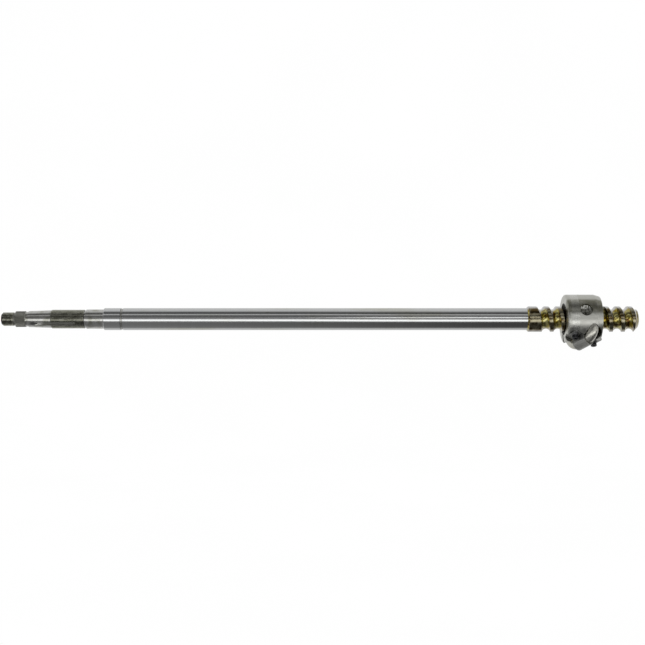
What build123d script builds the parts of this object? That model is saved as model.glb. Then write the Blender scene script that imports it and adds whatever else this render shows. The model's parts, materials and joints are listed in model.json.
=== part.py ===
"""Recirculating ball screw assembly of a tractor steering gear.

A long steering shaft carries a ball worm at its lower end.  A ball nut rides on the worm
and drives the steering lever through a side socket.  The balls leave the nut at one end of
their circuit and return to the other end through a bent tube held by a strap clamp.

Frame: the shaft lies along X with its wheel end at -X, the lower end face of the shaft is
at the origin, and +Z is up.  All lengths are in millimetres, all angles in degrees.
"""
import os
from math import cos, hypot, pi, radians, sin

from build123d import *

# ---------------------------------------------------------------- shaft, wheel end to worm
BAR_RADIUS = 12.7                # one inch ground bar
SHAFT_LENGTH = 733.1
THREAD_RADIUS = 7.94             # 5/8 inch thread for the wheel nut
THREAD_END = -719.5
THREAD_CHAMFER = 1.9
THREAD_NECK_RADIUS = 7.1
SERRATION_RADIUS = 9.25
SERRATION_START = -717.5
SERRATION_END = -705.1
SERRATION_TEETH = 36
SERRATION_DEPTH = 0.75
SERRATION_FLANK = 0.7            # half width of the tooth gap at its mouth, in tooth pitches
NECK_RADIUS = 8.55               # relief behind the serration
TAPER_START = -702.1
TAPER_START_RADIUS = 9.3
TAPER_END = -677.1
TAPER_END_RADIUS = 10.15
ADJUSTER_RADIUS = 10.88          # fine thread for the column bearing adjuster
ADJUSTER_START = -675.7
ADJUSTER_END = -637.1
ADJUSTER_CHAMFER = 0.8
JOURNAL_RADIUS = 11.11           # 7/8 inch upper journal
JOURNAL_START = -635.9
JOURNAL_END = -615.1
EDGE_BREAK = 0.6
KEYWAY_START = -690.9
KEYWAY_END = -647.1
KEYWAY_WIDTH = 4.4
KEYWAY_FLOOR = 7.6               # distance of the keyway floor from the axis
KEYWAY_ANGLE = 32.0              # below horizontal, on the front side

# ---------------------------------------------------------------- retaining ring
RING_GROOVE_START = -595.7
RING_GROOVE_WIDTH = 2.9
RING_GROOVE_RADIUS = 11.2
RING_WIDTH = 2.4
RING_INNER_RADIUS = 11.27
RING_OUTER_RADIUS = 12.1
RING_GAP = 3.0

# ---------------------------------------------------------------- ball worm
LEAD = 13.66                     # right hand, single start
WORM_RADIUS = 14.7
WORM_START = -128.1
WORM_END = -0.9
WORM_SHOULDER_CHAMFER = 1.9
WORM_NOSE_RADIUS = 10.2
WORM_NOSE_CHAMFER = 4.4
SPIGOT_RADIUS = 8.5              # reduced shaft end inside the worm
SPIGOT_CHAMFER = 0.8
BALL_RADIUS = 4.7625             # 3/8 inch balls
BALL_CIRCLE = 16.1               # radius of the ball centre helix
BALL_SLACK = 0.35                # free space left per ball around the circuit
BALL_PHASE = 0.25                # first ball's distance into the nut, in ball spacings
GROOVE_RADIUS = 4.98
GROOVE_TURNS_BEFORE = 2.8        # turns of groove between its start and the nut's ball circuit
GROOVE_RUNOUT = 14.0             # the groove runs past the lower end by this much

# ---------------------------------------------------------------- ball nut
NUT_START = -85.2
NUT_END = -45.0
NUT_RADIUS = 28.2
NUT_BORE_RADIUS = 15.3
NUT_FACE_ROUND = 2.6
ROUND_STEPS = 3                  # flats that make up a rounded edge
NUT_TAPER_LENGTH = 6.6
NUT_TAPER_DROP = 2.0
BORE_MOUTH_RADIUS = 18.2
BORE_MOUTH_DEPTH = 3.4
BORE_EXIT_RADIUS = 16.6
CIRCUIT_TURNS = 1.5
CIRCUIT_CENTRE = -65.66          # middle of the ball circuit along the shaft
SOCKET_RADIUS = 7.15             # peg socket for the steering lever
SOCKET_CENTRE = -64.2
SOCKET_ANGLE = 23.0              # above horizontal, on the front side
SOCKET_FLOOR = 22.3              # distance of the cup seat from the axis
CUP_RADIUS = 6.9
CUP_HEIGHT = 2.2
CUP_RECESS_DEPTH = 1.7
PUNCH_RADIUS = 1.1
PUNCH_ANGLE = 247.0
PUNCH_CIRCLE = 22.7
PUNCH_DEPTH = 0.9

# ---------------------------------------------------------------- return tube
RETURN_TILT = 63.0               # return side, below horizontal on the front side
TUBE_RADIUS = 6.1
TUBE_BORE = 5.0
TUBE_BEND = 14.0                 # centreline radius of the two elbows
BRIDGE_HEIGHT = 29.0             # distance of the bridge centreline from the shaft axis
TUBE_FOOT = 1.6                  # the legs reach down to this distance from the shaft axis
TUBE_HOLE_RADIUS = 6.15
POCKET_RADIUS = 9.3
POCKET_SHIFT = (0.2, -4.6)       # from the near leg, along the shaft and towards the front
POCKET_FLOOR = 13.5
CHANNEL_WIDTH = 13.4
SEAT_CLEARANCE = 0.3

# ---------------------------------------------------------------- clamp strap and screws
SEAT_HEIGHT = 22.6
SEAT_FRONT = 21.5
SEAT_REAR = 26.0
STRAP_THICKNESS = 1.3
STRAP_START = -8.8               # along the bridge, from the circuit centre
STRAP_END = 9.6
STRAP_FRONT = 18.6               # across the bridge, front foot length
STRAP_REAR = 23.4
STRAP_CORNER = 4.2
SCREW_RADIUS = 2.0
SCREW_SHANK = 5.2
SCREW_HOLE = 2.05
SCREW_HEAD_RADIUS = 3.4
SCREW_HEAD_HEIGHT = 3.8
SCREW_SOCKET = 3.0               # across flats
SCREW_SOCKET_DEPTH = 2.4
STRAP_HOLE = 2.2
WASHER_RADIUS = 3.7
WASHER_BORE = 2.2
WASHER_THICKNESS = 1.2
WASHER_SPLIT = 0.8
FRONT_SCREW = (1.4, 12.7)       # along and across the bridge
REAR_SCREW = (-1.2, -18.2)

# ---------------------------------------------------------------- derived geometry
AXIS = Vector(1, 0, 0)
DOWN = Vector(0, -cos(radians(RETURN_TILT)), -sin(radians(RETURN_TILT)))
FRONT = Vector(0, -sin(radians(RETURN_TILT)), cos(radians(RETURN_TILT)))
CENTRE = Vector(CIRCUIT_CENTRE, 0, 0)
HALF_CIRCUIT = CIRCUIT_TURNS * LEAD / 2
CIRCUIT_ANGLE = RETURN_TILT - 90     # where the ball circuit enters the nut, from +Y to +Z
BRIDGE_SPAN = hypot(HALF_CIRCUIT, BALL_CIRCLE)
ALONG = (AXIS * HALF_CIRCUIT + FRONT * BALL_CIRCLE) / BRIDGE_SPAN
ACROSS = FRONT * (HALF_CIRCUIT / BRIDGE_SPAN) - AXIS * (BALL_CIRCLE / BRIDGE_SPAN)

os.makedirs("parts", exist_ok=True)


def revolved_profile(points):
    """Solid of revolution about X from (x, radius) stations, closed along the axis."""
    with BuildPart() as turned:
        with BuildSketch(Plane.XY):
            with BuildLine():
                Polyline([(points[0][0], 0), *points, (points[-1][0], 0)], close=True)
            make_face()
        revolve(axis=Axis.X)
    return turned.part


def rounded_edge(x, radius, size):
    """Stations of an outer edge at x, rounded off over the given size in a few flats."""
    turns = [radians(90 * step / ROUND_STEPS) for step in range(ROUND_STEPS + 1)]
    return [(x + size * (1 - cos(turn)), radius - size * (1 - sin(turn))) for turn in turns]


def cross_plane(x, angle=0.0):
    """Plane square to the shaft at x whose local X points at the angle from +Y to +Z."""
    x_dir = (0, cos(radians(angle)), sin(radians(angle)))
    return Plane(origin=(x, 0, 0), x_dir=x_dir, z_dir=(1, 0, 0))


def radial_plane(x, angle, distance):
    """Plane facing outwards along the angle from +Y to +Z, at a distance from the axis."""
    out = Vector(0, cos(radians(angle)), sin(radians(angle)))
    return Plane(origin=Vector(x, 0, 0) + out * distance, x_dir=AXIS, z_dir=out)


def return_plane(distance):
    """Plane facing the return side; its local X is the shaft axis and local Y is FRONT."""
    return Plane(origin=CENTRE + DOWN * distance, x_dir=AXIS, z_dir=DOWN)


def bridge_plane(distance):
    """Plane facing the return side; its local X runs along the tube bridge."""
    return Plane(origin=CENTRE + DOWN * distance, x_dir=ALONG, z_dir=DOWN)


def groove_tool(x, angle, length, start_ball, end_ball):
    """Helical groove cutter on the ball centre circle, with optional rounded ends."""
    path = cross_plane(x, angle) * Helix(pitch=LEAD, height=length, radius=BALL_CIRCLE)
    with BuildPart() as tool:
        with BuildSketch(Plane(origin=path @ 0, z_dir=path % 0)):
            Circle(GROOVE_RADIUS)
        sweep(path=path, is_frenet=True)
        if start_ball:
            with Locations(path @ 0):
                Sphere(GROOVE_RADIUS)
        if end_ball:
            with Locations(path @ 1):
                Sphere(GROOVE_RADIUS)
    return tool.part


def tube_path(foot):
    """Centreline of the return tube from leg to leg, its feet at a distance from the axis."""
    far = CENTRE - ALONG * BRIDGE_SPAN
    near = CENTRE + ALONG * BRIDGE_SPAN
    return FilletPolyline(
        far + DOWN * foot,
        far + DOWN * BRIDGE_HEIGHT,
        near + DOWN * BRIDGE_HEIGHT,
        near + DOWN * foot,
        radius=TUBE_BEND,
    )


def closed_circuit():
    """Ball centre positions around the whole circuit, split into nut and tube groups."""
    helix_length = CIRCUIT_TURNS * hypot(2 * pi * BALL_CIRCLE, LEAD)
    with BuildLine(mode=Mode.PRIVATE) as tube_line:
        tube_path(0)
    tube_wire = tube_line.wire()
    helix_wire = cross_plane(CIRCUIT_CENTRE - HALF_CIRCUIT, CIRCUIT_ANGLE) * Helix(
        pitch=LEAD, height=2 * HALF_CIRCUIT, radius=BALL_CIRCLE
    )
    total = helix_length + tube_wire.length
    count = int(total / (2 * BALL_RADIUS + BALL_SLACK))
    loaded = []
    returning = []
    for index in range(count):
        travelled = (index + BALL_PHASE) * total / count
        if travelled < helix_length:
            loaded.append(helix_wire @ (travelled / helix_length))
        else:
            returning.append(tube_wire @ ((total - travelled) / tube_wire.length))
    return loaded, returning


# ---------------------------------------------------------------- steering shaft
shaft_stations = [
    (-SHAFT_LENGTH, THREAD_RADIUS - THREAD_CHAMFER),
    (-SHAFT_LENGTH + THREAD_CHAMFER, THREAD_RADIUS),
    (THREAD_END, THREAD_RADIUS),
    (THREAD_END, THREAD_NECK_RADIUS),
    (SERRATION_START, THREAD_NECK_RADIUS),
    (SERRATION_START + SERRATION_DEPTH, SERRATION_RADIUS),
    (SERRATION_END - SERRATION_DEPTH, SERRATION_RADIUS),
    (SERRATION_END, NECK_RADIUS),
    (TAPER_START, NECK_RADIUS),
    (TAPER_START, TAPER_START_RADIUS),
    (TAPER_END, TAPER_END_RADIUS),
    (ADJUSTER_START, ADJUSTER_RADIUS - ADJUSTER_CHAMFER),
    (ADJUSTER_START + ADJUSTER_CHAMFER, ADJUSTER_RADIUS),
    (ADJUSTER_END - ADJUSTER_CHAMFER, ADJUSTER_RADIUS),
    (ADJUSTER_END, ADJUSTER_RADIUS - ADJUSTER_CHAMFER),
    (JOURNAL_START, ADJUSTER_RADIUS - ADJUSTER_CHAMFER),
    (JOURNAL_START + EDGE_BREAK, JOURNAL_RADIUS),
    (JOURNAL_END, JOURNAL_RADIUS),
    (JOURNAL_END, BAR_RADIUS - EDGE_BREAK),
    (JOURNAL_END + EDGE_BREAK, BAR_RADIUS),
    (RING_GROOVE_START, BAR_RADIUS),
    (RING_GROOVE_START, RING_GROOVE_RADIUS),
    (RING_GROOVE_START + RING_GROOVE_WIDTH, RING_GROOVE_RADIUS),
    (RING_GROOVE_START + RING_GROOVE_WIDTH, BAR_RADIUS),
    (WORM_START, BAR_RADIUS),
    (WORM_START, SPIGOT_RADIUS),
    (-SPIGOT_CHAMFER, SPIGOT_RADIUS),
    (0, SPIGOT_RADIUS - SPIGOT_CHAMFER),
]
shaft_blank = revolved_profile(shaft_stations)

keyway_side = radial_plane(0, 180 + KEYWAY_ANGLE, KEYWAY_FLOOR)
keyway_length = KEYWAY_END - KEYWAY_START
keyway_middle = (KEYWAY_START + KEYWAY_END) / 2
tooth_pitch = 2 * pi * SERRATION_RADIUS / SERRATION_TEETH
with BuildPart() as steering_shaft:
    add(shaft_blank)
    with BuildSketch(keyway_side):
        with Locations((keyway_middle, 0)):
            SlotOverall(keyway_length, KEYWAY_WIDTH)
    extrude(amount=BAR_RADIUS, mode=Mode.SUBTRACT)
    with BuildSketch(cross_plane(SERRATION_START)):
        with PolarLocations(SERRATION_RADIUS, SERRATION_TEETH):
            Polygon(
                (-SERRATION_DEPTH, 0),
                (SERRATION_DEPTH, tooth_pitch * SERRATION_FLANK),
                (SERRATION_DEPTH, -tooth_pitch * SERRATION_FLANK),
                align=None,
            )
    extrude(amount=SERRATION_END - SERRATION_START, mode=Mode.SUBTRACT)
steering_shaft.part.label = "steering_shaft"
export_step(steering_shaft.part, "parts/steering_shaft.step")

# ---------------------------------------------------------------- retaining ring
ring_centre = RING_GROOVE_START + RING_GROOVE_WIDTH / 2
with BuildPart() as snap_ring:
    with BuildSketch(cross_plane(ring_centre, -90)):
        Circle(RING_OUTER_RADIUS)
        Circle(RING_INNER_RADIUS, mode=Mode.SUBTRACT)
        with Locations((RING_OUTER_RADIUS, 0)):
            Rectangle(2 * (RING_OUTER_RADIUS - RING_INNER_RADIUS) + EDGE_BREAK, RING_GAP,
                      mode=Mode.SUBTRACT)
    extrude(amount=RING_WIDTH / 2, both=True)
snap_ring.part.label = "snap_ring"
export_step(snap_ring.part, "parts/snap_ring.step")

# ---------------------------------------------------------------- ball worm
worm_stations = [
    (WORM_START, BAR_RADIUS),
    (WORM_START + WORM_SHOULDER_CHAMFER, WORM_RADIUS),
    (WORM_END - WORM_NOSE_CHAMFER, WORM_RADIUS),
    (WORM_END, WORM_NOSE_RADIUS),
]
worm_blank = revolved_profile(worm_stations)
groove_start = CIRCUIT_CENTRE - HALF_CIRCUIT - GROOVE_TURNS_BEFORE * LEAD
groove_angle = CIRCUIT_ANGLE - 360 * GROOVE_TURNS_BEFORE
worm_groove = groove_tool(
    groove_start, groove_angle, GROOVE_RUNOUT - groove_start, True, False
)
with BuildPart() as ball_worm:
    add(worm_blank)
    add(worm_groove, mode=Mode.SUBTRACT)
    with BuildSketch(cross_plane(WORM_START)):
        Circle(SPIGOT_RADIUS)
    extrude(amount=WORM_END - WORM_START, mode=Mode.SUBTRACT)
ball_worm.part.label = "ball_worm"
export_step(ball_worm.part, "parts/ball_worm.step")

# ---------------------------------------------------------------- ball nut
nut_stations = [
    *rounded_edge(NUT_START, NUT_RADIUS, NUT_FACE_ROUND),
    (NUT_END - NUT_TAPER_LENGTH, NUT_RADIUS),
    (NUT_END, NUT_RADIUS - NUT_TAPER_DROP),
]
nut_blank = revolved_profile(nut_stations)
bore_stations = [
    (NUT_START, BORE_MOUTH_RADIUS),
    (NUT_START + BORE_MOUTH_DEPTH, NUT_BORE_RADIUS),
    (NUT_END - (BORE_EXIT_RADIUS - NUT_BORE_RADIUS), NUT_BORE_RADIUS),
    (NUT_END, BORE_EXIT_RADIUS),
]
nut_bore = revolved_profile(bore_stations)
nut_groove = groove_tool(
    CIRCUIT_CENTRE - HALF_CIRCUIT, CIRCUIT_ANGLE, 2 * HALF_CIRCUIT, True, True
)
near_leg = (HALF_CIRCUIT, BALL_CIRCLE)
far_leg = (-HALF_CIRCUIT, -BALL_CIRCLE)
near_pocket = (HALF_CIRCUIT + POCKET_SHIFT[0], BALL_CIRCLE + POCKET_SHIFT[1])
far_pocket = (-near_pocket[0], -near_pocket[1])
socket_floor = radial_plane(SOCKET_CENTRE, 180 - SOCKET_ANGLE, SOCKET_FLOOR)
socket_step = radial_plane(SOCKET_CENTRE, 180 - SOCKET_ANGLE, SOCKET_FLOOR + CUP_HEIGHT)
punch_centre = (PUNCH_CIRCLE * cos(radians(PUNCH_ANGLE)), PUNCH_CIRCLE * sin(radians(PUNCH_ANGLE)))
with BuildPart() as ball_nut:
    add(nut_blank)
    add(nut_bore, mode=Mode.SUBTRACT)
    add(nut_groove, mode=Mode.SUBTRACT)
    # strap seat, cut square across the bridge
    with BuildSketch(bridge_plane(SEAT_HEIGHT)):
        with Locations(((STRAP_START + STRAP_END) / 2, (SEAT_FRONT - SEAT_REAR) / 2)):
            Rectangle(STRAP_END - STRAP_START + 2 * SEAT_CLEARANCE, SEAT_FRONT + SEAT_REAR)
    extrude(amount=NUT_RADIUS, mode=Mode.SUBTRACT)
    # channel for the tube bridge
    with BuildSketch(bridge_plane(SEAT_HEIGHT)):
        Rectangle(2 * BRIDGE_SPAN, CHANNEL_WIDTH)
    extrude(amount=NUT_RADIUS, mode=Mode.SUBTRACT)
    # pockets beside the elbows, then the leg holes down to the ball circle
    with BuildSketch(return_plane(POCKET_FLOOR)):
        with Locations(near_pocket, far_pocket):
            Circle(POCKET_RADIUS)
    extrude(amount=NUT_RADIUS, mode=Mode.SUBTRACT)
    with BuildSketch(return_plane(TUBE_FOOT)):
        with Locations(near_leg, far_leg):
            Circle(TUBE_HOLE_RADIUS)
    extrude(amount=NUT_RADIUS, mode=Mode.SUBTRACT)
    # tapped holes for the strap screws
    with BuildSketch(bridge_plane(SEAT_HEIGHT - SCREW_SHANK - SEAT_CLEARANCE)):
        with Locations(FRONT_SCREW, REAR_SCREW):
            Circle(SCREW_HOLE)
    extrude(amount=NUT_RADIUS, mode=Mode.SUBTRACT)
    # peg socket for the steering lever and punch mark on the upper face
    with BuildSketch(socket_floor):
        Circle(CUP_RADIUS)
    extrude(amount=CUP_HEIGHT, mode=Mode.SUBTRACT)
    with BuildSketch(socket_step):
        Circle(SOCKET_RADIUS)
    extrude(amount=NUT_RADIUS, mode=Mode.SUBTRACT)
    with BuildSketch(cross_plane(NUT_START)):
        with Locations(punch_centre):
            Circle(PUNCH_RADIUS)
    extrude(amount=PUNCH_DEPTH, mode=Mode.SUBTRACT)
ball_nut.part.label = "ball_nut"
export_step(ball_nut.part, "parts/ball_nut.step")

# ---------------------------------------------------------------- peg cup
cup_sphere = (CUP_RADIUS ** 2 + CUP_RECESS_DEPTH ** 2) / (2 * CUP_RECESS_DEPTH)
with BuildPart() as peg_cup:
    with BuildSketch(socket_floor):
        Circle(CUP_RADIUS)
    extrude(amount=CUP_HEIGHT)
    with Locations(socket_floor.offset(CUP_HEIGHT - CUP_RECESS_DEPTH + cup_sphere).location):
        Sphere(cup_sphere, mode=Mode.SUBTRACT)
peg_cup.part.label = "peg_cup"
export_step(peg_cup.part, "parts/peg_cup.step")

# ---------------------------------------------------------------- return tube, two halves
tube_start = Plane(origin=CENTRE - ALONG * BRIDGE_SPAN + DOWN * TUBE_FOOT, x_dir=ACROSS, z_dir=DOWN)
bore_clearance = revolved_profile([(NUT_START, NUT_BORE_RADIUS), (NUT_END, NUT_BORE_RADIUS)])


def tube_half(label, side):
    """One pressed half of the return tube, on the given side of the bend plane."""
    with BuildPart() as half:
        with BuildLine():
            tube_path(TUBE_FOOT)
        with BuildSketch(tube_start):
            Circle(TUBE_RADIUS)
            Circle(TUBE_BORE, mode=Mode.SUBTRACT)
            with Locations((-side * TUBE_RADIUS, 0)):
                Rectangle(2 * TUBE_RADIUS, 4 * TUBE_RADIUS, mode=Mode.SUBTRACT)
        sweep()
        add(bore_clearance, mode=Mode.SUBTRACT)
    half.part.label = label
    export_step(half.part, f"parts/{label}.step")


tube_half("return_tube_front", 1)
tube_half("return_tube_rear", -1)

# ---------------------------------------------------------------- clamp strap
strap_profile = Plane(origin=CENTRE + ALONG * STRAP_START, x_dir=ACROSS, z_dir=ALONG)
foot_bottom = SEAT_HEIGHT
foot_top = SEAT_HEIGHT + STRAP_THICKNESS
arch_outer = TUBE_RADIUS + STRAP_THICKNESS
with BuildPart() as tube_clamp:
    with BuildSketch(strap_profile):
        with Locations((0, BRIDGE_HEIGHT)):
            Circle(arch_outer)
        with Locations((0, (foot_bottom + BRIDGE_HEIGHT) / 2)):
            Rectangle(2 * arch_outer, BRIDGE_HEIGHT - foot_bottom)
        with Locations(((STRAP_FRONT - STRAP_REAR) / 2, (foot_bottom + foot_top) / 2)):
            Rectangle(STRAP_FRONT + STRAP_REAR, STRAP_THICKNESS)
        with Locations((0, BRIDGE_HEIGHT)):
            Circle(TUBE_RADIUS, mode=Mode.SUBTRACT)
        with Locations((0, BRIDGE_HEIGHT / 2)):
            Rectangle(2 * TUBE_RADIUS, BRIDGE_HEIGHT, mode=Mode.SUBTRACT)
    extrude(amount=STRAP_END - STRAP_START)
    foot_corners = tube_clamp.edges().filter_by(Axis(CENTRE, DOWN)).sort_by(SortBy.LENGTH)[:4]
    fillet(foot_corners, radius=STRAP_CORNER)
    with BuildSketch(bridge_plane(foot_bottom)):
        with Locations(FRONT_SCREW, REAR_SCREW):
            Circle(STRAP_HOLE)
    extrude(amount=STRAP_THICKNESS, mode=Mode.SUBTRACT)
tube_clamp.part.label = "tube_clamp"
export_step(tube_clamp.part, "parts/tube_clamp.step")

# ---------------------------------------------------------------- lock washers and screws
with BuildPart() as lock_washers:
    with BuildSketch(bridge_plane(foot_top)):
        with Locations(FRONT_SCREW, REAR_SCREW):
            Circle(WASHER_RADIUS)
            Circle(WASHER_BORE, mode=Mode.SUBTRACT)
            with Locations((WASHER_RADIUS, 0)):
                Rectangle(2 * WASHER_RADIUS, WASHER_SPLIT, mode=Mode.SUBTRACT)
    extrude(amount=WASHER_THICKNESS)
lock_washers.part.label = "lock_washers"
export_step(lock_washers.part, "parts/lock_washers.step")

head_bottom = foot_top + WASHER_THICKNESS
with BuildPart() as clamp_screws:
    with BuildSketch(bridge_plane(SEAT_HEIGHT - SCREW_SHANK)):
        with Locations(FRONT_SCREW, REAR_SCREW):
            Circle(SCREW_RADIUS)
    extrude(amount=SCREW_SHANK + head_bottom - SEAT_HEIGHT)
    with BuildSketch(bridge_plane(head_bottom)):
        with Locations(FRONT_SCREW, REAR_SCREW):
            Circle(SCREW_HEAD_RADIUS)
    extrude(amount=SCREW_HEAD_HEIGHT)
    with BuildSketch(bridge_plane(head_bottom + SCREW_HEAD_HEIGHT - SCREW_SOCKET_DEPTH)):
        with Locations(FRONT_SCREW, REAR_SCREW):
            RegularPolygon(SCREW_SOCKET / 2, 6, major_radius=False)
    extrude(amount=SCREW_SOCKET_DEPTH, mode=Mode.SUBTRACT)
clamp_screws.part.label = "clamp_screws"
export_step(clamp_screws.part, "parts/clamp_screws.step")

# ---------------------------------------------------------------- balls
loaded_centres, returning_centres = closed_circuit()
with BuildPart() as loaded_balls:
    with Locations(*loaded_centres):
        Sphere(BALL_RADIUS)
loaded_balls.part.label = "loaded_balls"
export_step(loaded_balls.part, "parts/loaded_balls.step")

with BuildPart() as returning_balls:
    with Locations(*returning_centres):
        Sphere(BALL_RADIUS)
returning_balls.part.label = "returning_balls"
export_step(returning_balls.part, "parts/returning_balls.step")
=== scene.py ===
"""Looks of the ball screw assembly: a steering shaft with a ball worm, nut and return tube.

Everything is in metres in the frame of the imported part: the shaft lies along X with its wheel
end at -X, and the front side, which the camera sees, is -Y.
"""
import json
from math import ceil, cos, pi, radians, sin

import bmesh
import bpy
import numpy as np
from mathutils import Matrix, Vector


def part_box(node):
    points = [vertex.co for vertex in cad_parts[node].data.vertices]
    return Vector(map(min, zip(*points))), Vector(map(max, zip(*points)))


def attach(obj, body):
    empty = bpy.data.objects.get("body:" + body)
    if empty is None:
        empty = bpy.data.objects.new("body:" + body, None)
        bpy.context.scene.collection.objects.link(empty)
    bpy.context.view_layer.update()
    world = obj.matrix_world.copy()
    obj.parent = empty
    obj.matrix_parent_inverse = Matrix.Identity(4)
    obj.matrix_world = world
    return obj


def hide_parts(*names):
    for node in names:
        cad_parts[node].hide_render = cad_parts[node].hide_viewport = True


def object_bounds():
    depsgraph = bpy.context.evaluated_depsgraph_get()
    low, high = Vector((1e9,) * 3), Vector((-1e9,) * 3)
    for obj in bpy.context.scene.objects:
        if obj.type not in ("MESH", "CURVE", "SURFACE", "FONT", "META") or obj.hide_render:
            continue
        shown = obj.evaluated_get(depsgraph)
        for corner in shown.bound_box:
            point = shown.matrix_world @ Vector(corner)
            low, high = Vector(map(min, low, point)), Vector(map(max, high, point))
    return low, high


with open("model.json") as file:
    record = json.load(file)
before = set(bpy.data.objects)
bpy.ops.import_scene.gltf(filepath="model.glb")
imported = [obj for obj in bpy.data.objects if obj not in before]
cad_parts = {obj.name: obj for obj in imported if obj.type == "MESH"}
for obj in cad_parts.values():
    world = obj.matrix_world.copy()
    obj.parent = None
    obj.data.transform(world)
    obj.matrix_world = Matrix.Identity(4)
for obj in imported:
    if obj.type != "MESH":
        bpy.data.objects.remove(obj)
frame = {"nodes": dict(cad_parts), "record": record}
cad_low, cad_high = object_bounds()

MM = 0.001
INCH = 25.4 * MM


# ------------------------------------------------------------------------ sizes
def mount_radius(name):
    """Radius of the round mount with that name in the record."""
    mounts = {mount["name"]: mount for mount in frame["record"]["mounts"]}
    return mounts[name]["dims"]["r_mm"] * MM


SHAFT_LOW, SHAFT_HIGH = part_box("steering_shaft")
WHEEL_END = SHAFT_LOW.x
SHAFT_LENGTH = SHAFT_HIGH.x - WHEEL_END
WORM_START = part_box("ball_worm")[0].x
NUT_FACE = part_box("ball_nut")[0].x
CUP_LOW, CUP_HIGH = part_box("peg_cup")
CUP_MIDDLE = (CUP_LOW.z + CUP_HIGH.z) / 2

# the shaft, from the wheel end on
WHEEL_RADIUS = mount_radius("wheel_nut_thread")
WHEEL_PITCH = INCH / 18
WHEEL_THREAD_DEPTH = 0.80 * MM
WHEEL_CHAMFER = 1.9 * MM
NECK_RADIUS = 7.1 * MM
SERRATION_RADIUS = 9.25 * MM
SERRATION_TEETH = 36
SERRATION_DEPTH = 0.75 * MM
RELIEF_RADIUS = 8.55 * MM
TAPER_SMALL_RADIUS = 9.3 * MM
TAPER_LARGE_RADIUS = 10.15 * MM
TAPER_CHAMFER = 0.2 * MM
ADJUSTER_RADIUS = mount_radius("adjuster_thread")
ADJUSTER_PITCH = INCH / 20
ADJUSTER_THREAD_DEPTH = 0.62 * MM
ADJUSTER_CHAMFER = 0.8 * MM
JOURNAL_RADIUS = mount_radius("upper_journal")
JOURNAL_CHAMFER = 0.6 * MM
BAR_RADIUS = mount_radius("column_bearing_bar")
RING_GROOVE_RADIUS = 11.2 * MM
SPIGOT_RADIUS = 8.5 * MM
SPIGOT_CHAMFER = 0.8 * MM

# distances from the wheel end
THREAD_LENGTH = 13.6 * MM
SERRATION_START = 15.6 * MM
SERRATION_END = 28.0 * MM
TAPER_START = 31.0 * MM
TAPER_END = 56.0 * MM
ADJUSTER_START = 57.4 * MM
ADJUSTER_END = 96.0 * MM
JOURNAL_START = 97.2 * MM
JOURNAL_END = 118.0 * MM
RING_GROOVE_START = 137.4 * MM
RING_GROOVE_END = 140.3 * MM
KEYWAY_START = 42.2 * MM
KEYWAY_END = 86.0 * MM

KEYWAY_WIDTH = 4.4 * MM
KEYWAY_FLOOR = 7.6 * MM
KEYWAY_ANGLE = radians(180 + 32)            # from +Y towards +Z, so low on the front side

# where the looks change; each pair is where a change begins and ends
KEYWAY_DULL = (2 * MM, 8 * MM)              # from the keyway's start
WORM_LAND = (13.6 * MM, 14.5 * MM)          # radii between the worm's groove and its land
NUT_BORE = (15.6 * MM, 16.6 * MM)           # radii between the dark bore and the nut's metal
NUT_MOUTH = (17.9 * MM, 18.6 * MM)          # the same for the wider mouth of the bore
NUT_MOUTH_DEPTH = (3.6 * MM, 4.4 * MM)      # how deep the mouth goes in from the nut's face
NUT_INNER_SHADE = (19.0 * MM, 26.0 * MM)          # radii over which the painted shade inside the nut thins out
NUT_INNER_SHADE_START = (0.3 * MM, 0.9 * MM)      # from the face, so that the face and its very edge stay unshaded
NUT_LAND = (5.0 * MM, 13.2 * MM)            # polished land, from the face
NUT_PAINTED_BAND = (radians(20), radians(48))        # painted shade: a darker band on the upper front, round the shaft
CUP_SHINE = (1.2 * MM, 4.0 * MM)            # heights from the cup's middle where the painted highlight streaks begin
# heights from the cup's middle where the painted shade low on the cup fades out
CUP_SHADE = (-4.8 * MM, -3.2 * MM)


# ------------------------------------------------------------------------ node helpers
NOISE_LOW, NOISE_HIGH = 0.3, 0.7            # most of a noise texture lies between these


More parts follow.
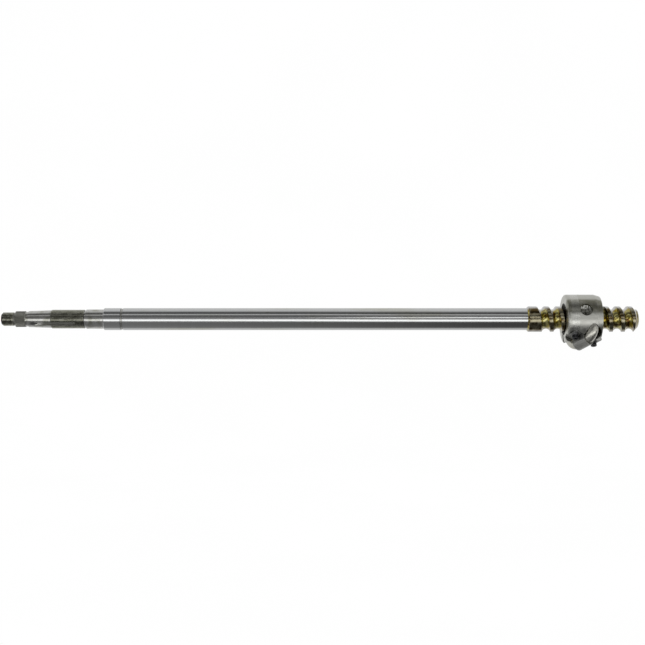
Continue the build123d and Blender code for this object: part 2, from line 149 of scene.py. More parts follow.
class Shader:
    """A small wrapper that adds shader nodes and links them in one call."""

    def __init__(self, tree):
        self.tree = tree
        self.tree.nodes.clear()

    def node(self, kind, settings=None, **inputs):
        """Adds a node; an underscore in an input's name stands for a space."""
        made = self.tree.nodes.new(kind)
        for key, value in (settings or {}).items():
            setattr(made, key, value)
        for key, value in inputs.items():
            self.set(made, key.replace("_", " "), value)
        return made

    def set(self, node, name, value):
        """Links a socket, or gives it a value; the name can be the socket's number."""
        socket = node.inputs[int(name)] if name.isdigit() else node.inputs[name]
        if isinstance(value, bpy.types.NodeSocket):
            self.tree.links.new(value, socket)
        else:
            socket.default_value = value

    def math(self, operation, first, second=0.0):
        made = self.node("ShaderNodeMath", {"operation": operation})
        self.set(made, "0", first)
        self.set(made, "1", second)
        return made.outputs[0]

    def times(self, first, second):
        return self.math("MULTIPLY", first, second)

    def remap(self, value, low, high, new_low=0.0, new_high=1.0, smooth=True):
        """Carries the range low to high over to the new one, and stays in it outside."""
        interpolation = "SMOOTHSTEP" if smooth else "LINEAR"
        made = self.node("ShaderNodeMapRange", {"interpolation_type": interpolation, "clamp": True})
        for number, entry in enumerate((value, low, high, new_low, new_high)):
            self.set(made, str(number), entry)
        return made.outputs[0]

    def spread(self, noise, new_low, new_high, smooth=True):
        """Carries the usual range of a noise over to the new one."""
        return self.remap(noise, NOISE_LOW, NOISE_HIGH, new_low, new_high, smooth)

    def mix(self, factor, first, second, blend="MIX"):
        made = self.node("ShaderNodeMix", {"data_type": "RGBA", "blend_type": blend})
        for name, entry in (("0", factor), ("6", first), ("7", second)):
            self.set(made, name, entry)
        return made.outputs[2]

    def noise(self, place, scale, detail=2.0, roughness=0.5, stretch=(1, 1, 1)):
        mapped = self.node("ShaderNodeMapping", None, Vector=place, Scale=stretch)
        made = self.node(
            "ShaderNodeTexNoise", None, Vector=mapped.outputs[0], Scale=scale, Detail=detail,
            Roughness=roughness,
        )
        return made.outputs[0]

    def finish(self, kind, result):
        """Links the result to a new output node of that kind."""
        output = self.node(kind)
        self.tree.links.new(result, output.inputs[0])


def rgb(red, green, blue):
    return (red, green, blue, 1.0)


def grey(level):
    return rgb(level, level, level)


def position(shader):
    """Place on the object, in the part's frame at rest."""
    return shader.node("ShaderNodeTexCoord").outputs["Object"]


def axes_of(shader, place):
    """X, Y and Z of a place, as three sockets."""
    split = shader.node("ShaderNodeSeparateXYZ", None, Vector=place)
    return split.outputs[0], split.outputs[1], split.outputs[2]


def shaft_distance(shader, place):
    """Distance of a place from the shaft axis."""
    _, across, up = axes_of(shader, place)
    flat = shader.node("ShaderNodeCombineXYZ", None, Y=across, Z=up)
    length = shader.node("ShaderNodeVectorMath", {"operation": "LENGTH"})
    shader.set(length, "0", flat.outputs[0])
    return length.outputs["Value"]


def shaft_turn(shader, place):
    """Angle of a place round the shaft axis: 0 on the front side, 90 degrees on top."""
    _, across, up = axes_of(shader, place)
    return shader.math("ARCTAN2", up, shader.times(across, -1.0))


def rise(shader, value, pair, start=0.0):
    """0 before the pair and 1 after it, with the pair counted from start."""
    return shader.remap(value, start + pair[0], start + pair[1])


def fall(shader, value, pair, start=0.0):
    """1 before the pair and 0 after it, with the pair counted from start."""
    return shader.remap(value, start + pair[0], start + pair[1], 1.0, 0.0)


def window(shader, value, pair, soft, start=0.0):
    """1 within the pair, fading to 0 over the soft distance outside it."""
    inward = rise(shader, value, (pair[0] - soft, pair[0]), start)
    outward = fall(shader, value, (pair[1], pair[1] + soft), start)
    return shader.times(inward, outward)


def crevice(shader, tint, reach):
    """Painted shade: the tint turns nearly black in narrow gaps between parts, where little light
    reaches.
    """
    gap_shade_colour = rgb(0.018, 0.017, 0.012)
    occlusion = shader.node("ShaderNodeAmbientOcclusion", {"samples": 6}, Distance=reach)
    closed = shader.remap(occlusion.outputs["AO"], 0.30, 0.80, 0.9, 0.0)
    return shader.mix(closed, tint, gap_shade_colour)


def metal(name, look, edge, metallic=1.0):
    """Makes a metal whose edges look rounded by the given radius.

    look(shader) returns the tint, the roughness and the relief, which is a height, its depth in
    metres and its strength, or None on a smooth surface.
    """
    material = bpy.data.materials.new(name)
    material.use_nodes = True
    shader = Shader(material.node_tree)
    tint, rough, relief = look(shader)
    normal = shader.node("ShaderNodeBevel", {"samples": 4}, Radius=edge).outputs[0]
    if relief:
        height, depth, strength = relief
        normal = shader.node(
            "ShaderNodeBump", None, Height=height, Distance=depth, Strength=strength, Normal=normal
        ).outputs[0]
    surface = shader.node(
        "ShaderNodeBsdfPrincipled", None, Base_Color=tint, Metallic=metallic, Roughness=rough,
        Normal=normal,
    )
    shader.finish("ShaderNodeOutputMaterial", surface.outputs[0])
    return material


# ------------------------------------------------------------------------ looks of the shaft
def ground_bar(shader):
    """Polished bar: fine grinding lines round the shaft, with faint smears of oil."""
    place = position(shader)
    clean, oily = rgb(0.66, 0.67, 0.67), rgb(0.58, 0.58, 0.52)
    lines = shader.noise(place, scale=900.0, detail=3.0, roughness=0.6, stretch=(3.0, 0.05, 0.05))
    smear = shader.noise(place, scale=26.0, detail=4.0, roughness=0.6, stretch=(0.35, 1.6, 1.6))
    film = shader.remap(smear, 0.50, 0.72)
    shading = shader.remap(lines, 0.35, 0.65, 0.93, 1.0, smooth=False)
    tint = shader.mix(1.0, shader.mix(film, clean, oily), shading, "MULTIPLY")
    polish = shader.spread(lines, 0.10, 0.17, smooth=False)
    rough = shader.math("ADD", polish, shader.times(film, 0.05))
    return tint, rough, (lines, 0.002 * MM, 0.35)


def journal_steel(shader):
    """Turned and lightly polished steel of the journal and the taper."""
    place = position(shader)
    clean, stained = rgb(0.60, 0.60, 0.58), rgb(0.42, 0.42, 0.37)
    lines = shader.noise(place, scale=1400.0, stretch=(3.0, 0.04, 0.04))
    stain = shader.remap(shader.noise(place, scale=120.0, detail=3.0), 0.42, 0.68)
    rough = shader.spread(lines, 0.14, 0.24, smooth=False)
    return shader.mix(stain, clean, stained), rough, (lines, 0.004 * MM, 0.5)


def thread_steel(crest_radius, depth):
    """Dark oiled thread: nearly black roots, brighter and smoother worn crests."""
    black, brown, worn = rgb(0.018, 0.018, 0.009), rgb(0.05, 0.05, 0.028), rgb(0.52, 0.52, 0.44)
    crest_polish = 0.12

    def look(shader):
        place = position(shader)
        crest = shader.remap(shaft_distance(shader, place), crest_radius - depth, crest_radius)
        grime_and_shade = shader.noise(place, scale=260.0, detail=3.0)
        tint = shader.mix(crest, shader.mix(grime_and_shade, black, brown), worn)
        oiled = shader.spread(grime_and_shade, 0.20, 0.30)
        rough = shader.math("SUBTRACT", oiled, shader.times(crest, crest_polish))
        return tint, rough, (grime_and_shade, 0.006 * MM, 0.3)

    return look


def serration_steel(shader):
    """Broached serration: even mid grey, matt."""
    dark, light = rgb(0.24, 0.24, 0.21), rgb(0.40, 0.40, 0.37)
    grain = shader.noise(position(shader), scale=900.0, detail=3.0)
    rough = shader.spread(grain, 0.42, 0.60)
    return shader.mix(grain, dark, light), rough, (grain, 0.02 * MM, 0.4)


def keyway_steel(shader):
    """Milled keyway: bright where the cutter went in, dull with oil further along."""
    place = position(shader)
    along, _, _ = axes_of(shader, place)
    cuts = shader.noise(place, scale=700.0, stretch=(0.4, 2.0, 2.0))
    fresh = fall(shader, along, KEYWAY_DULL, WHEEL_END + KEYWAY_START)
    dull = shader.mix(cuts, rgb(0.26, 0.26, 0.23), rgb(0.46, 0.46, 0.43))
    bright = shader.mix(cuts, rgb(0.66, 0.66, 0.64), rgb(0.86, 0.86, 0.84))
    rough = 0.55
    return shader.mix(fresh, dull, bright), rough, (cuts, 0.01 * MM, 0.5)


# ------------------------------------------------------------------------ looks of the other parts
def worm_oil(shader, place, film):
    """Amber oil that pools in the groove, with rust spots under it."""
    pooled, thin, rust = rgb(0.30, 0.22, 0.015), rgb(0.60, 0.55, 0.24), rgb(0.10, 0.032, 0.006)
    amber = shader.mix(film, pooled, thin)
    spots = shader.remap(shader.noise(place, scale=200.0, detail=3.0), 0.50, 0.62)
    return shader.mix(shader.times(spots, 0.9), amber, rust)


def worm_glance(shader, place):
    """Painted sheen: how far a pale grey covers the oil's colour where the surface is seen at a
    glancing angle, more on the upper side.
    """
    facing = shader.node("ShaderNodeLayerWeight", None, Blend=0.5).outputs["Facing"]
    upper = shader.remap(shaft_turn(shader, place), radians(-20), radians(20), 0.45, 0.95)
    return shader.times(shader.remap(facing, 0.38, 0.66), upper)


def oiled_worm(shader):
    """Ground worm under amber preservative oil, thickest in the groove."""
    place = position(shader)
    stained, bare, painted_sheen_grey = rgb(0.11, 0.075, 0.028), rgb(0.38, 0.35, 0.24), grey(0.66)
    crest = rise(shader, shaft_distance(shader, place), WORM_LAND)
    pool = shader.noise(place, scale=150.0, detail=4.0, roughness=0.6)
    film = shader.remap(pool, 0.36, 0.62)
    land = shader.mix(film, stained, bare)
    tint = shader.mix(crest, worm_oil(shader, place, film), land)
    # painted sheen: pale grey over the oil at glancing angles, stronger on the upper side
    tint = shader.mix(worm_glance(shader, place), tint, painted_sheen_grey)
    drops = shader.noise(place, scale=420.0, detail=3.0, roughness=0.55)
    return tint, shader.spread(pool, 0.13, 0.24), (drops, 0.03 * MM, 0.35)


def nut_oil(shader, place, mottle):
    """Painted shade: a blotchy darker band along the upper front of the nut."""
    band = window(shader, shaft_turn(shader, place), NUT_PAINTED_BAND, radians(9))
    return shader.times(band, shader.remap(mottle, 0.3, 0.6, 0.55, 0.85))


def nut_grime(shader, along, radius):
    """Painted shade inside the nut, starting just in from its left face and thickest round the
    bore.
    """
    inside = fall(shader, radius, NUT_INNER_SHADE)
    face = rise(shader, along, NUT_INNER_SHADE_START, NUT_FACE)
    return shader.times(shader.times(inside, face), 0.8)


def nut_bore(shader, along, radius):
    """1 inside the nut's bore and its wider mouth, where little light reaches, 0 elsewhere."""
    bore = fall(shader, radius, NUT_BORE)
    near = fall(shader, along, NUT_MOUTH_DEPTH, NUT_FACE)
    mouth = fall(shader, radius, NUT_MOUTH)
    return shader.math("MAXIMUM", bore, shader.times(mouth, near))


def nut_steel(shader):
    """Turned nut body: satin, with turning lines, a polished land, a painted dark band on the upper
    front and painted shade inside and in narrow gaps.
    """
    place = position(shader)
    along, _, _ = axes_of(shader, place)
    radius = shaft_distance(shader, place)
    dark, light, polished = rgb(0.50, 0.50, 0.46), rgb(0.66, 0.66, 0.61), rgb(0.76, 0.76, 0.74)
    band_shade_colour, grime_and_shade, black = rgb(0.17, 0.165, 0.115), rgb(0.08, 0.08, 0.06), rgb(0.022, 0.020, 0.014)
    lines = shader.noise(place, scale=1200.0, roughness=0.6, stretch=(3.0, 0.03, 0.03))
    mottle = shader.noise(place, scale=210.0, detail=4.0, roughness=0.65)
    tint = shader.mix(mottle, dark, light)
    # painted shade: a blotchy darker band on the upper front
    tint = shader.mix(nut_oil(shader, place, mottle), tint, band_shade_colour)
    # painted shade inside the nut, behind its left face
    tint = shader.mix(nut_grime(shader, along, radius), tint, grime_and_shade)
    tint = shader.mix(nut_bore(shader, along, radius), tint, black)
    land = window(shader, along, NUT_LAND, 0.7 * MM, NUT_FACE)
    tint = shader.mix(shader.times(land, 0.22), tint, polished)
    satin = shader.spread(mottle, 0.30, 0.42)
    rough = shader.math("SUBTRACT", satin, shader.times(land, 0.06))
    height = shader.math("ADD", lines, shader.times(mottle, 1.5))
    # painted shade: nearly black in narrow gaps beside the tube, strap and screws
    return crevice(shader, tint, 4.0 * MM), rough, (height, 0.012 * MM, 0.5)


def cup_steel(shader):
    """Turned cup: speckled and oily, with painted highlight streaks near its upper rim and painted
    shade low down.
    """
    place = position(shader)
    _, _, up = axes_of(shader, place)
    oily, bare = rgb(0.085, 0.083, 0.062), rgb(0.42, 0.42, 0.38)
    bright, shaded = rgb(0.85, 0.85, 0.82), rgb(0.045, 0.043, 0.034)
    grain = shader.noise(place, scale=520.0, detail=4.0, roughness=0.65)
    tint = shader.mix(shader.remap(grain, 0.40, 0.62), oily, bare)
    streaks = shader.noise(place, scale=420.0, stretch=(3.0, 0.25, 0.25))
    shine = shader.remap(streaks, 0.50, 0.60)
    high = rise(shader, up, CUP_SHINE, CUP_MIDDLE)
    # painted highlight: bright streaks on the upper part of the cup
    tint = shader.mix(shader.times(shine, high), tint, bright)
    # painted shade: the lower part of the cup turns nearly black
    tint = shader.mix(fall(shader, up, CUP_SHADE, CUP_MIDDLE), tint, shaded)
    return tint, shader.spread(grain, 0.24, 0.40), (grain, 0.05 * MM, 0.6)


def pressed_tube(shader):
    """Pressed tube halves: satin skin with light scuffs along the bend."""
    place = position(shader)
    dark, light, scuffed = rgb(0.50, 0.49, 0.42), rgb(0.70, 0.69, 0.64), rgb(0.3, 0.3, 0.26)
    scuff = shader.noise(place, scale=330.0, detail=4.0, roughness=0.6)
    skin = shader.mix(shader.noise(place, scale=60.0), dark, light)
    tint = shader.mix(shader.remap(scuff, 0.6, 0.8), skin, scuffed)
    rough = shader.spread(scuff, 0.24, 0.36)
    # painted shade: nearly black in narrow gaps next to the nut and the strap
    return crevice(shader, tint, 4.0 * MM), rough, (scuff, 0.02 * MM, 0.5)


def strap_steel(shader):
    """Clamp strap: dull pressed sheet with darker worn patches."""
    place = position(shader)
    dark, light, worn = rgb(0.36, 0.36, 0.34), rgb(0.52, 0.52, 0.50), rgb(0.24, 0.24, 0.22)
    grain = shader.noise(place, scale=420.0, detail=4.0, roughness=0.6)
    skin = shader.mix(shader.noise(place, scale=90.0), dark, light)
    tint = shader.mix(shader.remap(grain, 0.55, 0.8), skin, worn)
    rough = shader.spread(grain, 0.42, 0.56)
    # painted shade: nearly black in narrow gaps next to the tube, screws and nut
    return crevice(shader, tint, 3.0 * MM), rough, (grain, 0.025 * MM, 0.5)


def black_oxide(shader):
    """Strap screws: black oxide with a slight blue cast."""
    dark, light = rgb(0.018, 0.018, 0.022), rgb(0.06, 0.06, 0.065)
    grain = shader.noise(position(shader), scale=800.0, detail=3.0)
    rough = shader.spread(grain, 0.25, 0.45)
    return shader.mix(grain, dark, light), rough, (grain, 0.02 * MM, 0.5)


def washer_steel(shader):
    """Lock washers: dull grey spring steel."""
    dark, light, rough = rgb(0.22, 0.22, 0.23), rgb(0.5, 0.5, 0.52), 0.35
    grain = shader.noise(position(shader), scale=700.0, detail=3.0)
    return shader.mix(grain, dark, light), rough, (grain, 0.02 * MM, 0.5)


def ring_wire(shader):
    """Retaining ring: drawn wire."""
    dark, light, rough = rgb(0.34, 0.34, 0.31), rgb(0.6, 0.6, 0.58), 0.25
    grain = shader.noise(position(shader), scale=900.0, detail=3.0)
    return shader.mix(grain, dark, light), rough, (grain, 0.01 * MM, 0.4)


def ball_chrome(shader):
    """Bearing balls: near-mirror finish under a trace of oil."""
    oily, clean = rgb(0.62, 0.60, 0.50), rgb(0.78, 0.77, 0.72)
    haze = shader.noise(position(shader), scale=500.0)
    return shader.mix(haze, oily, clean), shader.spread(haze, 0.05, 0.12), None


# ------------------------------------------------------------------------ meshes
SEGMENTS = 180                              # faces round the shaft
FINE_STEP = 0.18 * MM                       # between stations where there are threads or teeth
SAME_PLACE = 0.001 * MM
SHARP_ANGLE = radians(32)
KEYWAY_ARC_STEPS = 16
THREAD_SLOPE = 1.42                         # together these leave a flat on the crest of a
CREST_FLAT = 0.30                           # thread and a narrower one at its root

# the shaft's materials, in their order on the mesh
BAR, WHEEL_THREAD, SERRATION, JOURNAL, ADJUSTER_THREAD = range(5)


def mesh_object(name, vertices, faces, materials, zones=None):
    """Makes a smooth-shaded mesh; zones gives each face's place in the list of materials."""
    mesh = bpy.data.meshes.new(name)
    mesh.from_pydata(vertices, [], faces)
    for material in materials:
        mesh.materials.append(material)
    if zones:
        mesh.polygons.foreach_set("material_index", np.array(zones, dtype=np.int32))
    mesh.polygons.foreach_set("use_smooth", np.ones(len(faces), dtype=bool))
    mesh.set_sharp_from_angle(angle=SHARP_ANGLE)
    made = bpy.data.objects.new(name, mesh)
    bpy.context.scene.collection.objects.link(made)
    return made


def triangle_wave(phase):
    """0 at the crest, 1 at the root, with a worn flat on the crest and a narrow one below."""
    wave = np.abs((phase % 1.0) * 2 - 1)
    return np.clip((1 - wave) * THREAD_SLOPE - CREST_FLAT, 0, 1)


def thread_cut(x, angle, start, end, pitch, depth):
    """Depth of a right-hand thread at each angle, fading out over one pitch at each end."""
    phase = (x - start) / pitch - angle / (2 * pi)
    fade_in = np.clip((x - start) / pitch, 0, 1)
    fade_out = np.clip((end - x) / pitch, 0, 1)
    return depth * triangle_wave(phase) * fade_in * fade_out


def serration_cut(x, angle):
    """Depth of the serration at each angle, running out over one tooth depth at each end."""
    run_in = min(x - SERRATION_START, SERRATION_END - x) / SERRATION_DEPTH
    tooth = np.abs(((angle * SERRATION_TEETH / (2 * pi)) % 1.0) * 2 - 1)
    return SERRATION_DEPTH * tooth * min(1.0, max(0.0, run_in))


def shaft_radius(x, angle, base):
    """Radius of the shaft surface at distance x from the wheel end, at each angle."""
    cut = np.zeros_like(angle)
    if x <= THREAD_LENGTH:
        cut = thread_cut(x, angle, 0, THREAD_LENGTH, WHEEL_PITCH, WHEEL_THREAD_DEPTH)
    elif SERRATION_START <= x <= SERRATION_END:
        cut = serration_cut(x, angle)
    elif ADJUSTER_START <= x <= ADJUSTER_END:
        cut = thread_cut(
            x, angle, ADJUSTER_START, ADJUSTER_END, ADJUSTER_PITCH, ADJUSTER_THREAD_DEPTH
        )
    return base - cut


def fine_stations(start, end, radius_start, radius_end):
    """Stations on a straight line, close enough together to carry a thread or teeth."""
    count = int(ceil((end - start) / FINE_STEP))
    return [
        (start + (end - start) * i / count, radius_start + (radius_end - radius_start) * i / count)
        for i in range(count + 1)
    ]


def without_repeats(stations):
    """Drops a station in the same place as the one before, so that no face has zero area."""
    kept = stations[:1]
    for x, radius in stations[1:]:
        if abs(x - kept[-1][0]) + abs(radius - kept[-1][1]) > SAME_PLACE:
            kept.append((x, radius))
    return kept


def wheel_stations():
    """The wheel-nut thread, the serration and the taper."""
    tooth_in = SERRATION_START + SERRATION_DEPTH
    tooth_out = SERRATION_END - SERRATION_DEPTH
    stations = fine_stations(0, WHEEL_CHAMFER, WHEEL_RADIUS - WHEEL_CHAMFER, WHEEL_RADIUS)
    stations += fine_stations(WHEEL_CHAMFER, THREAD_LENGTH, WHEEL_RADIUS, WHEEL_RADIUS)
    stations += [(THREAD_LENGTH, NECK_RADIUS), (SERRATION_START, NECK_RADIUS)]
    stations += fine_stations(SERRATION_START, tooth_in, NECK_RADIUS, SERRATION_RADIUS)
    stations += fine_stations(tooth_in, tooth_out, SERRATION_RADIUS, SERRATION_RADIUS)
    stations += fine_stations(tooth_out, SERRATION_END, SERRATION_RADIUS, RELIEF_RADIUS)
    stations += [(TAPER_START, RELIEF_RADIUS), (TAPER_START, TAPER_SMALL_RADIUS - TAPER_CHAMFER)]
    stations += [(TAPER_START + TAPER_CHAMFER, TAPER_SMALL_RADIUS), (TAPER_END, TAPER_LARGE_RADIUS)]
    return stations


def adjuster_stations():
    """The fine adjuster thread and the run-out behind it."""
    thread_in = ADJUSTER_START + ADJUSTER_CHAMFER
    thread_out = ADJUSTER_END - ADJUSTER_CHAMFER
    low = ADJUSTER_RADIUS - ADJUSTER_CHAMFER
    stations = fine_stations(ADJUSTER_START, thread_in, low, ADJUSTER_RADIUS)
    stations += fine_stations(thread_in, thread_out, ADJUSTER_RADIUS, ADJUSTER_RADIUS)
    stations += fine_stations(thread_out, ADJUSTER_END, ADJUSTER_RADIUS, low)
    return stations + [(JOURNAL_START, low)]


def bar_stations():
    """The journal, the ring groove, the long bar and the reduced end inside the worm."""
    worm_start = WORM_START - WHEEL_END
    return [
        (JOURNAL_START + JOURNAL_CHAMFER, JOURNAL_RADIUS),
        (JOURNAL_END, JOURNAL_RADIUS),
        (JOURNAL_END, BAR_RADIUS - JOURNAL_CHAMFER),
        (JOURNAL_END + JOURNAL_CHAMFER, BAR_RADIUS),
        (RING_GROOVE_START, BAR_RADIUS),
        (RING_GROOVE_START, RING_GROOVE_RADIUS),
        (RING_GROOVE_END, RING_GROOVE_RADIUS),
        (RING_GROOVE_END, BAR_RADIUS),
        (worm_start, BAR_RADIUS),
        (worm_start, SPIGOT_RADIUS),
        (SHAFT_LENGTH - SPIGOT_CHAMFER, SPIGOT_RADIUS),
        (SHAFT_LENGTH, SPIGOT_RADIUS - SPIGOT_CHAMFER),
    ]


def shaft_stations():
    """(distance from the wheel end, radius) down the shaft; steps repeat the distance."""
    return without_repeats(wheel_stations() + adjuster_stations() + bar_stations())


def shaft_zone(x):
    """Material of the shaft surface at a distance from the wheel end."""
    if x <= THREAD_LENGTH:
        return WHEEL_THREAD
    if x <= SERRATION_END:
        return SERRATION
    if x < ADJUSTER_START:
        return JOURNAL
    if x <= ADJUSTER_END:
        return ADJUSTER_THREAD
    if x <= JOURNAL_END:
        return JOURNAL
    return BAR


def steering_shaft(materials):
    """The whole shaft as one closed surface with real thread, serration and groove forms."""
    stations = shaft_stations()
    angle = np.arange(SEGMENTS) * 2 * pi / SEGMENTS
    rings = []
    for x, base in stations:
        radius = shaft_radius(x, angle, base)
        along = np.full(SEGMENTS, WHEEL_END + x)
        rings.append(np.stack([along, radius * np.cos(angle), radius * np.sin(angle)], 1))
    vertices = np.concatenate(rings).tolist()
    faces = []
    zones = []
    for k in range(len(stations) - 1):
        zone = shaft_zone((stations[k][0] + stations[k + 1][0]) / 2)
        low = k * SEGMENTS
        for i in range(SEGMENTS):
            j = (i + 1) % SEGMENTS
            faces.append((low + i, low + j, low + SEGMENTS + j, low + SEGMENTS + i))
            zones.append(zone)
    faces.append(tuple(reversed(range(SEGMENTS))))
    faces.append(tuple(range(len(vertices) - SEGMENTS, len(vertices))))
    zones += [JOURNAL, JOURNAL]
    return mesh_object("steering_shaft_detail", vertices, faces, materials, zones)


def keyway_outline():
    """(x, sideways) round the keyway, with half a circle at each end."""
    half = KEYWAY_WIDTH / 2
    points = []
    for centre, first in ((KEYWAY_END - half, -90), (KEYWAY_START + half, 90)):
        for i in range(KEYWAY_ARC_STEPS + 1):
            turn = radians(first + 180 * i / KEYWAY_ARC_STEPS)
            points.append((WHEEL_END + centre + half * cos(turn), half * sin(turn)))
    return points


def keyway_cutter(material):
    """Closed slot-shaped block with round ends, standing on the keyway floor."""
    outline = keyway_outline()
    outward = np.array([0, cos(KEYWAY_ANGLE), sin(KEYWAY_ANGLE)])
    sideways = np.array([0, -sin(KEYWAY_ANGLE), cos(KEYWAY_ANGLE)])
    vertices = []
    for height in (KEYWAY_FLOOR, 2 * BAR_RADIUS):
        for x, side in outline:
            vertices.append(tuple(np.array([x, 0, 0]) + sideways * side + outward * height))
    count = len(outline)
    faces = [tuple(range(count)), tuple(reversed(range(count, 2 * count)))]
    for i in range(count):
        j = (i + 1) % count
        faces.append((j, i, count + i, count + j))
    return mesh_object("keyway_cutter", vertices, faces, [material])


def join_close_points(mesh):
    """Removes the sliver faces that the cut leaves along the edge of the keyway."""
    whole = bmesh.new()
    whole.from_mesh(mesh)
    bmesh.ops.remove_doubles(whole, verts=whole.verts, dist=SAME_PLACE)
    bmesh.ops.dissolve_degenerate(whole, edges=whole.edges, dist=SAME_PLACE)
    whole.to_mesh(mesh)
    whole.free()


def cut_keyway(shaft, material):
    """Cuts the keyway into the shaft and leaves a plain mesh behind."""
    cutter = keyway_cutter(material)
    boolean = shaft.modifiers.new("keyway", "BOOLEAN")
    boolean.operation = "DIFFERENCE"
    boolean.solver = "EXACT"
    boolean.material_mode = "TRANSFER"
    boolean.object = cutter
    graph = bpy.context.evaluated_depsgraph_get()
    done = bpy.data.meshes.new_from_object(shaft.evaluated_get(graph))
    shaft.modifiers.clear()
    shaft.data = done
    bpy.data.objects.remove(cutter)
    join_close_points(done)


# ------------------------------------------------------------------------ pieces
def detailed_shaft():
    """The shaft that stands for the CAD one, with its keyway and materials."""
    wheel_look = thread_steel(WHEEL_RADIUS, WHEEL_THREAD_DEPTH)
    adjuster_look = thread_steel(ADJUSTER_RADIUS, ADJUSTER_THREAD_DEPTH)
    materials = [
        metal("ground_bar", ground_bar, edge=0.15 * MM),
        metal("wheel_thread_steel", wheel_look, edge=0.1 * MM),
        metal("serration_steel", serration_steel, edge=0.1 * MM),
        metal("journal_steel", journal_steel, edge=0.15 * MM),
        metal("adjuster_thread_steel", adjuster_look, edge=0.1 * MM),
    ]
    shaft = steering_shaft(materials)
    cut_keyway(shaft, metal("keyway_steel", keyway_steel, edge=0.1 * MM))
    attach(shaft, "shaft")
    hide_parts("steering_shaft")


def dress(material, *nodes):
    """Gives CAD nodes their finished material."""
    for node in nodes:
        cad = frame["nodes"][node]
        cad.data.materials.clear()
        cad.data.materials.append(material)


def dress_cad_nodes():
    """The nodes whose CAD shape is kept."""
    dress(metal("oiled_worm", oiled_worm, edge=0.3 * MM), "ball_worm")
    dress(metal("ring_wire", ring_wire, edge=0.3 * MM), "snap_ring")
    dress(metal("nut_turned", nut_steel, edge=0.5 * MM), "ball_nut")
    dress(metal("cup_turned", cup_steel, edge=0.25 * MM), "peg_cup")
    tube = metal("tube_pressed", pressed_tube, edge=0.3 * MM)
    dress(tube, "return_tube_front", "return_tube_rear")
    dress(metal("strap_pressed", strap_steel, edge=0.5 * MM), "tube_clamp")
    dress(metal("washer_dull", washer_steel, edge=0.2 * MM), "lock_washers")
    dress(metal("black_oxide", black_oxide, edge=0.4 * MM, metallic=0.7), "clamp_screws")
    dress(metal("ball_chrome", ball_chrome, edge=0.25 * MM), "loaded_balls", "returning_balls")


# ------------------------------------------------------------------------ floor, light, camera
CAMERA_DISTANCE = 1.39
VIEW_WIDTH = 0.7447                         # of the picture, at that distance
CAMERA_X = -0.3634                          # over the middle of the picture
CAMERA_Z = -0.00393
SENSOR_WIDTH = 36.0                         # in millimetres, as is the lens

FLOOR_DROP = 0.30
FLOOR_HALF_WIDTH = 6.0
FLOOR_FRONT, FLOOR_BACK = -4.0, 2.4
WALL_HEIGHT = 3.0
WALL_BEND = 1.0
WALL_BEND_STEPS = 12

# how bright the studio is in each direction, by angle round the shaft: 0 is behind the camera,
# 90 is overhead, -90 is straight below and 180 is the white wall behind the object
STUDIO_BANDS = (
    (-180, 0.76), (-140, 0.66), (-112, 0.55), (-102, 0.24), (-60, 0.20), (-36, 0.19),
    (-25, 0.26), (-19, 1.5), (-7, 1.6), (-1, 0.40), (8, 0.26), (18, 0.17), (28, 0.12),
    (38, 0.15), (49, 0.60), (59, 0.09), (73, 0.08), (86, 0.40), (102, 0.68), (150, 0.72),
    (180, 0.76),
)
BAND_PEAK = 4.0                             # a ramp stops at 1, so its levels are divided by this
RIGHT_SIDE = (0.0, 0.05)                    # X of the direction, over which the right side begins
STRIP_DROP = radians(3)                     # the strip light hangs lower on the right
UPPER_STRIP = radians(16)                   # direction of the second strip on that side
UPPER_STRIP_FADE = (radians(3), radians(7))
UPPER_STRIP_LEVEL = 1.1
DIM_BELOW = (radians(-110), radians(-95))   # the floor is darker on the right between these
DIM_ABOVE = (radians(-36), radians(-28))
DIM_SIDE = (-0.16, 0.15)                    # X of the direction, over which it darkens
DIM_AMOUNT = 0.68


def floor_outline():
    """(y, z) along the floor and up the bend to the top of the back wall."""
    base = cad_low.z - FLOOR_DROP
    outline = [(FLOOR_FRONT, base)]
    for i in range(WALL_BEND_STEPS + 1):
        turn = radians(90 * i / WALL_BEND_STEPS)
        y = FLOOR_BACK - WALL_BEND + WALL_BEND * sin(turn)
        outline.append((y, base + WALL_BEND - WALL_BEND * cos(turn)))
    outline.append((FLOOR_BACK, base + WALL_HEIGHT))
    return outline


def pale_floor():
    """An even glow that is almost white, with faint clouds."""
    material = bpy.data.materials.new("pale_floor")
    material.use_nodes = True
    shader = Shader(material.node_tree)
    shade = shader.spread(shader.noise(position(shader), scale=3.0), 0.995, 1.0)
    glow = shader.node("ShaderNodeEmission", None, Color=grey(1), Strength=shade)
    shader.finish("ShaderNodeOutputMaterial", glow.outputs[0])
    return material


def studio_floor():
    """A pale floor with a swept-up back wall, which the object doesn't reflect."""
    outline = floor_outline()
    middle = (cad_low.x + cad_high.x) / 2
    vertices = []
    for y, z in outline:
        vertices += [(middle - FLOOR_HALF_WIDTH, y, z), (middle + FLOOR_HALF_WIDTH, y, z)]
    faces = [(2 * i, 2 * i + 1, 2 * i + 3, 2 * i + 2) for i in range(len(outline) - 1)]
    floor = mesh_object("studio_floor", vertices, faces, [pale_floor()])
    floor.visible_glossy = False
    floor.visible_diffuse = False
    floor.visible_shadow = False


def band_level(shader, angle, right):
    """Brightness of the studio by the angle round the shaft, from STUDIO_BANDS."""
    lowered = shader.math("ADD", angle, shader.times(right, STRIP_DROP))
    around = shader.remap(lowered, -pi, pi, smooth=False)
    ramp = shader.node("ShaderNodeValToRGB", None, Fac=around)
    ramp.color_ramp.interpolation = "EASE"
    elements = ramp.color_ramp.elements
    while len(elements) > 1:
        elements.remove(elements[-1])
    elements[0].position = 0.0
    for k, (degrees, level) in enumerate(STUDIO_BANDS):
        element = elements[0] if k == 0 else elements.new((degrees + 180) / 360)
        element.color = grey(level / BAND_PEAK)
    return shader.times(ramp.outputs[0], BAND_PEAK)


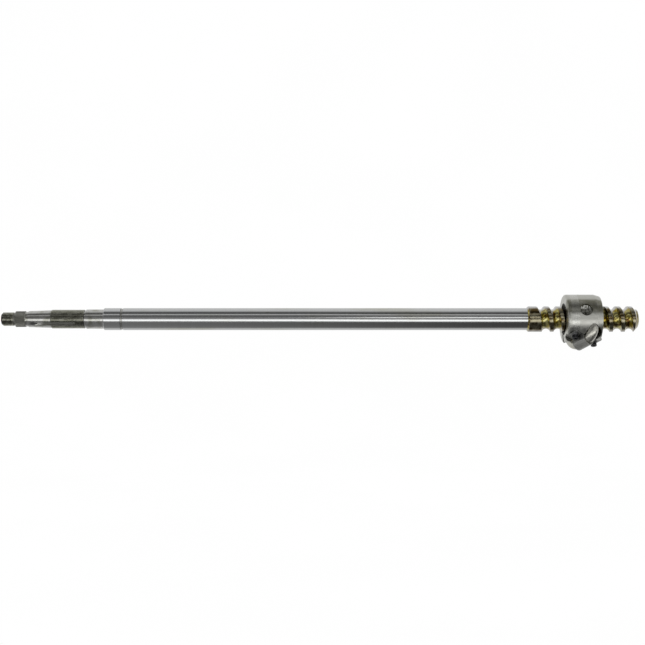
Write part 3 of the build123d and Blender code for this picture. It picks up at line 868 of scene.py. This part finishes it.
def upper_strip(shader, angle, right):
    """A second, higher strip light on the right side."""
    offset = shader.math("ABSOLUTE", shader.math("SUBTRACT", angle, UPPER_STRIP))
    strip = shader.remap(offset, *UPPER_STRIP_FADE, UPPER_STRIP_LEVEL, 0.0)
    return shader.times(right, strip)


def floor_dimming(shader, angle, along):
    """How much darker the floor is, growing towards the right side."""
    below = rise(shader, angle, DIM_BELOW)
    above = fall(shader, angle, DIM_ABOVE)
    side = shader.remap(along, *DIM_SIDE, 0.0, DIM_AMOUNT, smooth=False)
    return shader.times(shader.times(below, above), side)


def studio_world():
    """Soft studio light: pale walls, dark front with one strip light low behind the camera."""
    world = bpy.data.worlds.new("studio")
    bpy.context.scene.world = world
    world.use_nodes = True
    shader = Shader(world.node_tree)
    direction = shader.node("ShaderNodeTexCoord").outputs["Generated"]
    along, _, _ = axes_of(shader, direction)
    angle = shaft_turn(shader, direction)
    right = rise(shader, along, RIGHT_SIDE)
    level = band_level(shader, angle, right)
    level = shader.math("ADD", level, upper_strip(shader, angle, right))
    undimmed = shader.math("SUBTRACT", 1.0, floor_dimming(shader, angle, along))
    level = shader.times(level, undimmed)
    light = shader.node("ShaderNodeBackground", None, Color=grey(1), Strength=level)
    white = shader.node("ShaderNodeBackground", None, Color=grey(1), Strength=1.0)
    seen = shader.node("ShaderNodeLightPath").outputs["Is Camera Ray"]
    blend = shader.node("ShaderNodeMixShader", None, Fac=seen)
    shader.set(blend, "1", light.outputs[0])
    shader.set(blend, "2", white.outputs[0])
    shader.finish("ShaderNodeOutputWorld", blend.outputs[0])


def studio_camera():
    """Stands almost level with the shaft and looks straight at its front side."""
    data = bpy.data.cameras.new("studio_camera")
    data.sensor_width = SENSOR_WIDTH
    data.lens = SENSOR_WIDTH * CAMERA_DISTANCE / VIEW_WIDTH
    data.clip_start = 0.01
    data.clip_end = 20.0
    camera = bpy.data.objects.new("studio_camera", data)
    camera.location = (CAMERA_X, -CAMERA_DISTANCE, CAMERA_Z)
    camera.rotation_euler = (radians(90), 0, 0)
    bpy.context.scene.collection.objects.link(camera)
    bpy.context.scene.camera = camera


detailed_shaft()
dress_cad_nodes()
studio_floor()
studio_world()
studio_camera()
bpy.context.scene.view_settings.view_transform = "Standard"
